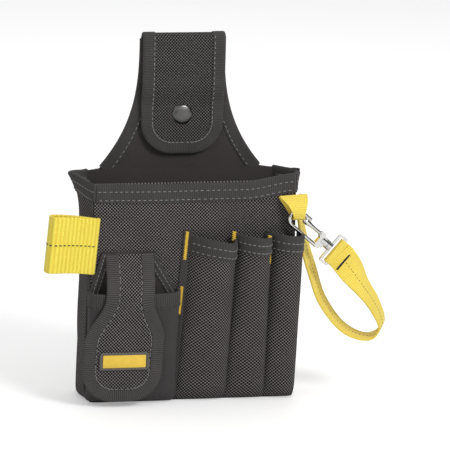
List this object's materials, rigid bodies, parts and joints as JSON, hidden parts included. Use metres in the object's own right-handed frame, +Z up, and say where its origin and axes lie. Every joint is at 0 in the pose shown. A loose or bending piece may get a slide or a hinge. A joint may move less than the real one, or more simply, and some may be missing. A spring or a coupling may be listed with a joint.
{
  "type": "tool pouch",
  "caption": "Belt-worn tool pouch with a snap belt flap, an open main pocket, a flapped phone pocket, driver pockets, a tool loop and a clipped tape strap.",
  "frame": {"origin": "middle of the belt tunnel, between the back's neck and the snap flap", "axes": "+X along the belt, to the right seen from the front; +Y out of the back, towards the wearer; +Z up"},
  "size_m": [0.3199, 0.0813, 0.328],
  "materials": {
    "ballistic_cloth": "woven ballistic nylon, matte",
    "smooth_cloth": "smooth packcloth, matte",
    "binding_tape": "ribbed grosgrain, matte",
    "stiffener_board": "polyethylene board",
    "yellow_webbing": "ribbed webbing with a slight sheen",
    "yellow_thread": "bonded nylon thread",
    "black_thread": "bonded nylon thread",
    "hook_and_loop": "hook and loop tape",
    "gunmetal_snap": "dark oxidised brass, satin",
    "chromed_steel": "polished nickel plate",
    "label_frame": "moulded rubber, matte",
    "label_plate": "moulded rubber, matte"
  },
  "bodies": {
    "root": {"back_lining": "smooth_cloth", "back_panel": "ballistic_cloth", "back_stiffener": "stiffener_board", "bar_tacks": "yellow_thread", "base_hem": "binding_tape", "base_panel": "ballistic_cloth", "belt_fold": "ballistic_cloth", "divider_binding": "binding_tape", "driver_pocket_1": "ballistic_cloth", "driver_pocket_2": "ballistic_cloth", "driver_pocket_3": "ballistic_cloth", "driver_pocket_rim_1": "binding_tape", "driver_pocket_rim_2": "binding_tape", "driver_pocket_rim_3": "binding_tape", "front_panel": "ballistic_cloth", "hook_patch": "hook_and_loop", "keeper_loop": "yellow_webbing", "left_gusset": "ballistic_cloth", "neck_binding_left": "binding_tape", "neck_binding_right": "binding_tape", "phone_pocket": "smooth_cloth", "phone_pocket_back": "smooth_cloth", "phone_pocket_rim": "binding_tape", "pocket_flap_fold": "ballistic_cloth", "right_gusset": "ballistic_cloth", "rim_binding_front": "binding_tape", "rim_binding_left": "binding_tape", "rim_binding_right": "binding_tape", "side_piping_left": "binding_tape", "side_piping_right": "binding_tape", "snap_post": "gunmetal_snap", "snap_stud": "gunmetal_snap", "strap_bar_tack": "black_thread", "strap_end_fold": "yellow_webbing", "swivel_eye": "chromed_steel", "tape_strap": "yellow_webbing", "wing_binding_left": "binding_tape", "wing_binding_right": "binding_tape"},
    "belt_flap": {"belt_flap_panel": "ballistic_cloth", "belt_flap_binding": "binding_tape", "snap_cap": "gunmetal_snap", "snap_socket": "gunmetal_snap"},
    "pocket_flap": {"pocket_flap_panel": "ballistic_cloth", "pocket_flap_binding": "binding_tape", "label_frame": "label_frame", "label_plate": "label_plate", "loop_patch": "hook_and_loop"},
    "hook": {"hook_body": "chromed_steel", "gate_rivet": "chromed_steel"},
    "gate": {"gate_lever": "chromed_steel"},
    "tool_loop": {"tool_loop": "yellow_webbing"}
  },
  "joints": [
    {"name": "belt_flap_hinge", "type": "hinge", "parent": "root", "child": "belt_flap", "pos_m": [0, -0.007, 0.028], "axis": [-1, 0, 0], "range_deg": [0, 150]},
    {"name": "pocket_flap_hinge", "type": "hinge", "parent": "root", "child": "pocket_flap", "pos_m": [-0.063, -0.05933, -0.1585], "axis": [-1, 0, 0], "range_deg": [0, 150]},
    {"name": "hook_swivel", "type": "hinge", "parent": "root", "child": "hook", "pos_m": [0.122, -0.063, -0.15], "axis": [-0.7627, 0, 0.6468], "range_deg": [-12, 12]},
    {"name": "gate_pivot", "type": "hinge", "parent": "hook", "child": "gate", "pos_m": [0.11746, -0.063, -0.14143], "axis": [0, -1, 0], "range_deg": [0, 20], "stiffness_Nm_per_rad": 0.004, "springref_deg": -17.19},
    {"name": "tool_loop_swing", "type": "hinge", "parent": "root", "child": "tool_loop", "pos_m": [-0.0881, -0.0589, -0.1225], "axis": [0.0872, 0, 0.9962], "range_deg": [0, 55], "stiffness_Nm_per_rad": 0.02}
  ]
}
